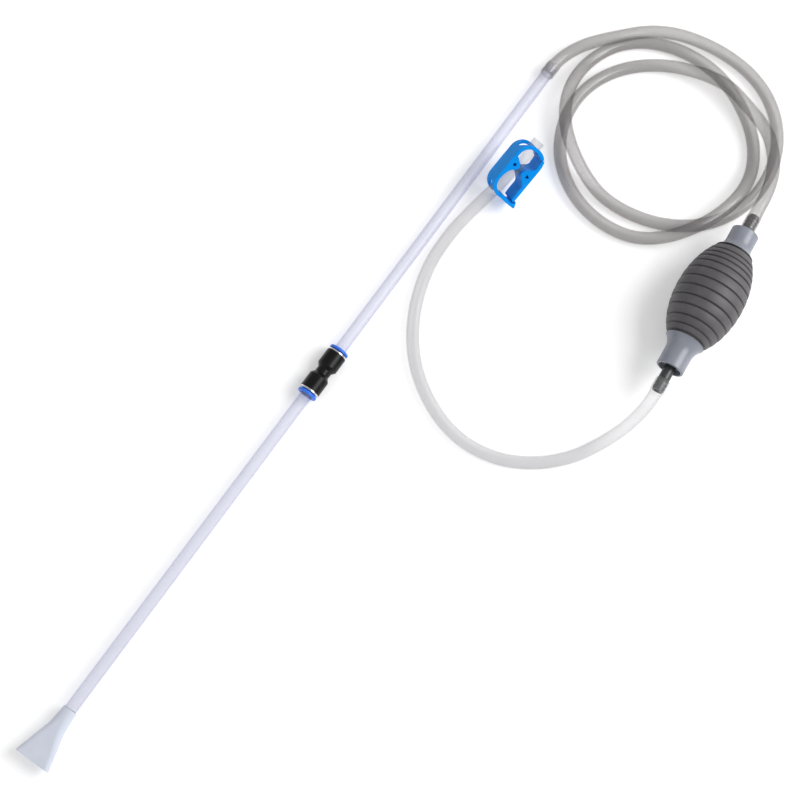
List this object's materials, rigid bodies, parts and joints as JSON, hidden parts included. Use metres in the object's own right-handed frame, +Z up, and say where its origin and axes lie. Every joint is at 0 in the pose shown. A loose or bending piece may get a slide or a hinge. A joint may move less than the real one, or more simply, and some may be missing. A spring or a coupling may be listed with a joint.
{
  "type": "gravel vacuum siphon",
  "caption": "Gravel vacuum siphon: clear two-piece wand with a flat nozzle, push-in union, ribbed squeeze bulb between one-way valves, coiled hoses and a hose pinch clamp.",
  "frame": {"origin": "under the middle of the rigid parts, on the surface the set lies on", "axes": "+X along the rigid wand from the nozzle to the hose end, +Z up, +Y from the bulb towards the wand"},
  "size_m": [0.95, 0.3114, 0.0669],
  "materials": {
    "clear_tube": "clear rigid plastic with a faint bluish tint, smooth",
    "frosted_plastic": "translucent frosted plastic",
    "union_black": "black moulded plastic, half gloss",
    "collet_blue": "bright blue moulded plastic",
    "nickel": "bright nickel plating",
    "claw_steel": "spring steel",
    "black_rubber": "black rubber",
    "bulb_rubber": "dark grey rubber with a soft sheen",
    "cap_grey": "grey-blue moulded plastic, satin",
    "barb_grey": "dark grey plastic",
    "hose_smoke": "clear soft hose, warm grey where it lies in a coil",
    "hose_clear": "clear soft hose",
    "clamp_blue": "bright blue springy plastic"
  },
  "bodies": {
    "siphon": {"upper_tube": "clear_tube", "union_body": "union_black", "lower_collar_ring": "nickel", "upper_collar_ring": "nickel", "lower_grip_claw": "claw_steel", "upper_grip_claw": "claw_steel", "lower_tube_seal": "black_rubber", "upper_tube_seal": "black_rubber", "bulb": "bulb_rubber", "inlet_ring": "black_rubber", "inlet_cap": "cap_grey", "outlet_cap": "cap_grey", "inlet_gasket": "black_rubber", "outlet_gasket": "black_rubber", "inlet_barb": "barb_grey", "outlet_barb": "barb_grey", "inlet_keeper": "barb_grey", "outlet_seat": "barb_grey", "clamp_frame": "clamp_blue", "suction_hose_lead": "hose_smoke", "suction_hose_coil": "hose_smoke", "suction_hose_tail": "hose_smoke", "outlet_hose": "hose_clear", "outlet_hose_end": "hose_clear"},
    "wand": {"flat_nozzle": "frosted_plastic", "lower_tube": "clear_tube"},
    "lower_collet": {"lower_release_collet": "collet_blue"},
    "upper_collet": {"upper_release_collet": "collet_blue"},
    "inlet_valve": {"inlet_valve_disc": "black_rubber"},
    "outlet_valve": {"outlet_valve_disc": "black_rubber"},
    "pinch_arm": {"clamp_arm": "clamp_blue"},
    "pinch_latch": {"clamp_latch": "clamp_blue"}
  },
  "joints": [
    {"name": "wand_swivel", "type": "hinge", "parent": "siphon", "child": "wand", "pos_m": [0.0205, 0.1377, 0.0102], "axis": [1, 0, 0], "continuous": true},
    {"name": "lower_collet_press", "type": "slide", "parent": "siphon", "child": "lower_collet", "axis": [1, 0, 0], "range_m": [0, 0.0011], "stiffness_N_per_m": 900},
    {"name": "upper_collet_press", "type": "slide", "parent": "siphon", "child": "upper_collet", "axis": [-1, 0, 0], "range_m": [0, 0.0011], "stiffness_N_per_m": 900},
    {"name": "inlet_valve_lift", "type": "slide", "parent": "siphon", "child": "inlet_valve", "axis": [-0.9964, -0.0845, 0], "range_m": [0, 0.0015]},
    {"name": "outlet_valve_lift", "type": "slide", "parent": "siphon", "child": "outlet_valve", "axis": [-0.9964, -0.0845, 0], "range_m": [0, 0.0015]},
    {"name": "pinch_arm_open", "type": "hinge", "parent": "siphon", "child": "pinch_arm", "pos_m": [0.31221, 0.088, 0.03279], "axis": [-0.4049, -0.575, 0.711], "range_deg": [0, 9], "stiffness_Nm_per_rad": 0.8},
    {"name": "pinch_latch_release", "type": "hinge", "parent": "siphon", "child": "pinch_latch", "pos_m": [0.26597, 0.1036, 0.01908], "axis": [0.4049, 0.575, -0.711], "range_deg": [0, 27], "stiffness_Nm_per_rad": 0.05}
  ],
  "couplings": [
    {"joint": "pinch_latch_release", "follows": "pinch_arm_open", "ratio": 3}
  ]
}
